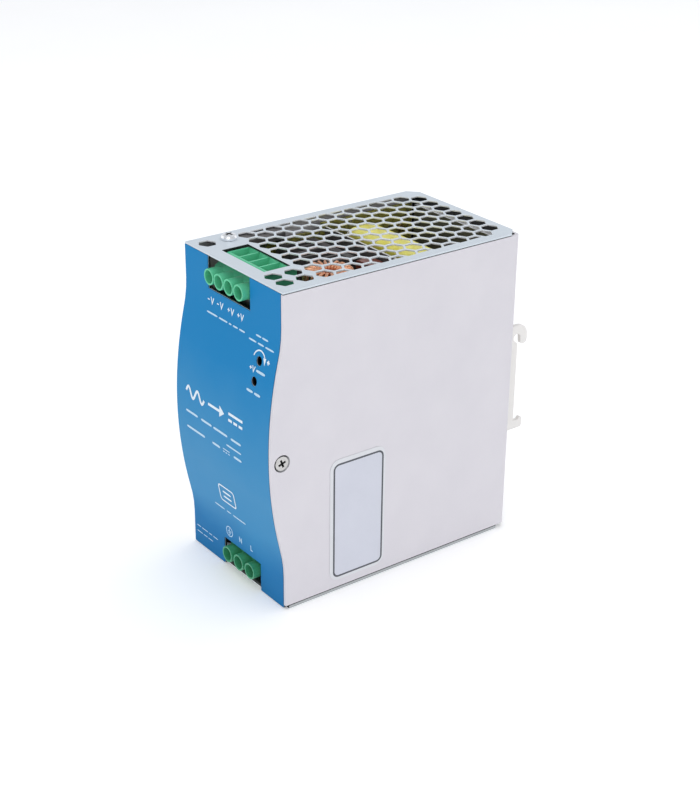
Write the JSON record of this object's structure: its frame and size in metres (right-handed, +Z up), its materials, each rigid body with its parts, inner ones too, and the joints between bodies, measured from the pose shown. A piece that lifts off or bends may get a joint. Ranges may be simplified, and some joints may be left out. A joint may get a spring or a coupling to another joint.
{
  "type": "din rail power supply",
  "caption": "Enclosed power supply for a 35 mm rail: S-curved blue front, honeycomb vented top and bottom, green screw terminals, and its internal boards and parts.",
  "frame": {"origin": "centre of the overall box at its bottom face", "axes": "X is the width, to the right seen from the front; +Y runs from the front to the rail; +Z is up"},
  "size_m": [0.0632, 0.124, 0.1273],
  "materials": {
    "zinc_sheet": "satin zinc-plated sheet",
    "blue_film": "semi-gloss printed polyester film",
    "label_film": "matt label film",
    "screw_plate": "bright zinc plate",
    "bracket_alloy": "matt pressed sheet",
    "spring_steel": "bright spring steel",
    "green_light": "semi-gloss moulded polyamide",
    "green_dark": "semi-gloss moulded polyamide",
    "tin_plate": "tin plate",
    "circuit_board": "solder resist on glass epoxy",
    "trimmer_blue": "moulded",
    "trimmer_cream": "moulded",
    "led_lens": "clear tinted epoxy",
    "brass": "machined",
    "heatsink_black": "black anodised extrusion",
    "heatsink_clear": "mill finish",
    "package_black": "moulded epoxy",
    "barrier_white": "insulating paper",
    "ferrite": "sintered ferrite",
    "bobbin_white": "moulded",
    "yellow_tape": "polyester tape",
    "copper_wire": "enamelled copper winding, packed as brass",
    "capacitor_sleeve": "shrink sleeve",
    "capacitor_yellow": "moulded box",
    "capacitor_brown": "dipped epoxy",
    "fuse_ceramic": "ceramic"
  },
  "bodies": {
    "case": {"bottom_cover": "zinc_sheet", "bottom_screw": "screw_plate", "bracket_screw_left": "screw_plate", "bracket_screw_right": "screw_plate", "bridge_rectifier": "package_black", "bulk_capacitor_1": "capacitor_sleeve", "bulk_capacitor_2": "capacitor_sleeve", "common_mode_choke": "copper_wire", "control_board": "circuit_board", "film_capacitor": "capacitor_brown", "front_label": "blue_film", "front_panel": "zinc_sheet", "fuse": "fuse_ceramic", "input_board": "circuit_board", "input_terminal_housing": "green_dark", "insulation_barrier": "barrier_white", "main_board": "circuit_board", "output_board": "circuit_board", "output_capacitor_1": "capacitor_sleeve", "output_capacitor_2": "capacitor_sleeve", "output_choke": "copper_wire", "output_heatsink": "heatsink_clear", "output_rectifier": "package_black", "output_terminal_housing": "green_light", "pfc_choke": "copper_wire", "primary_heatsink": "heatsink_black", "rail_bracket": "bracket_alloy", "rear_shell": "zinc_sheet", "side_label": "label_film", "side_screw_left": "screw_plate", "side_screw_right": "screw_plate", "standoff_1": "brass", "standoff_2": "brass", "standoff_3": "brass", "standoff_4": "brass", "status_led": "led_lens", "switching_transistor": "package_black", "top_cover": "zinc_sheet", "top_screw": "screw_plate", "transformer_bobbin": "bobbin_white", "transformer_core": "ferrite", "transformer_winding": "yellow_tape", "trimmer_body": "trimmer_blue", "x_capacitor": "capacitor_yellow"},
    "output_screw_1_body": {"output_screw_1": "screw_plate"},
    "output_clamp_1_body": {"output_clamp_1": "tin_plate"},
    "output_screw_2_body": {"output_screw_2": "screw_plate"},
    "output_clamp_2_body": {"output_clamp_2": "tin_plate"},
    "output_screw_3_body": {"output_screw_3": "screw_plate"},
    "output_clamp_3_body": {"output_clamp_3": "tin_plate"},
    "output_screw_4_body": {"output_screw_4": "screw_plate"},
    "output_clamp_4_body": {"output_clamp_4": "tin_plate"},
    "input_screw_1_body": {"input_screw_1": "screw_plate"},
    "input_clamp_1_body": {"input_clamp_1": "tin_plate"},
    "input_screw_2_body": {"input_screw_2": "screw_plate"},
    "input_clamp_2_body": {"input_clamp_2": "tin_plate"},
    "input_screw_3_body": {"input_screw_3": "screw_plate"},
    "input_clamp_3_body": {"input_clamp_3": "tin_plate"},
    "trimmer_rotor_body": {"trimmer_rotor": "trimmer_cream"},
    "rail_spring_body": {"rail_spring": "spring_steel"}
  },
  "joints": [
    {"name": "output_screw_1_turn", "type": "hinge", "parent": "case", "child": "output_screw_1_body", "pos_m": [-0.01195, -0.04353, 0.1199], "axis": [0, 0, -1], "range_deg": [0, 1008]},
    {"name": "output_clamp_1_lift", "type": "slide", "parent": "case", "child": "output_clamp_1_body", "axis": [0, 0, 1], "range_m": [0, 0.0014]},
    {"name": "output_screw_2_turn", "type": "hinge", "parent": "case", "child": "output_screw_2_body", "pos_m": [-0.0056, -0.04353, 0.1199], "axis": [0, 0, -1], "range_deg": [0, 1008]},
    {"name": "output_clamp_2_lift", "type": "slide", "parent": "case", "child": "output_clamp_2_body", "axis": [0, 0, 1], "range_m": [0, 0.0014]},
    {"name": "output_screw_3_turn", "type": "hinge", "parent": "case", "child": "output_screw_3_body", "pos_m": [0.00075, -0.04353, 0.1199], "axis": [0, 0, -1], "range_deg": [0, 1008]},
    {"name": "output_clamp_3_lift", "type": "slide", "parent": "case", "child": "output_clamp_3_body", "axis": [0, 0, 1], "range_m": [0, 0.0014]},
    {"name": "output_screw_4_turn", "type": "hinge", "parent": "case", "child": "output_screw_4_body", "pos_m": [0.0071, -0.04353, 0.1199], "axis": [0, 0, -1], "range_deg": [0, 1008]},
    {"name": "output_clamp_4_lift", "type": "slide", "parent": "case", "child": "output_clamp_4_body", "axis": [0, 0, 1], "range_m": [0, 0.0014]},
    {"name": "input_screw_1_turn", "type": "hinge", "parent": "case", "child": "input_screw_1_body", "pos_m": [-0.005, -0.04353, 0.0049], "axis": [0, 0, 1], "range_deg": [0, 1008]},
    {"name": "input_clamp_1_lift", "type": "slide", "parent": "case", "child": "input_clamp_1_body", "axis": [0, 0, -1], "range_m": [0, 0.0014]},
    {"name": "input_screw_2_turn", "type": "hinge", "parent": "case", "child": "input_screw_2_body", "pos_m": [0.00263, -0.04353, 0.0049], "axis": [0, 0, 1], "range_deg": [0, 1008]},
    {"name": "input_clamp_2_lift", "type": "slide", "parent": "case", "child": "input_clamp_2_body", "axis": [0, 0, -1], "range_m": [0, 0.0014]},
    {"name": "input_screw_3_turn", "type": "hinge", "parent": "case", "child": "input_screw_3_body", "pos_m": [0.01025, -0.04353, 0.0049], "axis": [0, 0, 1], "range_deg": [0, 1008]},
    {"name": "input_clamp_3_lift", "type": "slide", "parent": "case", "child": "input_clamp_3_body", "axis": [0, 0, -1], "range_m": [0, 0.0014]},
    {"name": "trimmer_turn", "type": "hinge", "parent": "case", "child": "trimmer_rotor_body", "pos_m": [0.01963, -0.05493, 0.0966], "axis": [0, 1, 0], "range_deg": [-130, 130]},
    {"name": "rail_spring_lift", "type": "slide", "parent": "case", "child": "rail_spring_body", "axis": [0, 0, 1], "range_m": [0, 0.0009]}
  ],
  "couplings": [
    {"joint": "output_screw_1_turn", "follows": "output_clamp_1_lift", "rad_per_m": 12566},
    {"joint": "output_screw_2_turn", "follows": "output_clamp_2_lift", "rad_per_m": 12566},
    {"joint": "output_screw_3_turn", "follows": "output_clamp_3_lift", "rad_per_m": 12566},
    {"joint": "output_screw_4_turn", "follows": "output_clamp_4_lift", "rad_per_m": 12566},
    {"joint": "input_screw_1_turn", "follows": "input_clamp_1_lift", "rad_per_m": 12566},
    {"joint": "input_screw_2_turn", "follows": "input_clamp_2_lift", "rad_per_m": 12566},
    {"joint": "input_screw_3_turn", "follows": "input_clamp_3_lift", "rad_per_m": 12566}
  ]
}
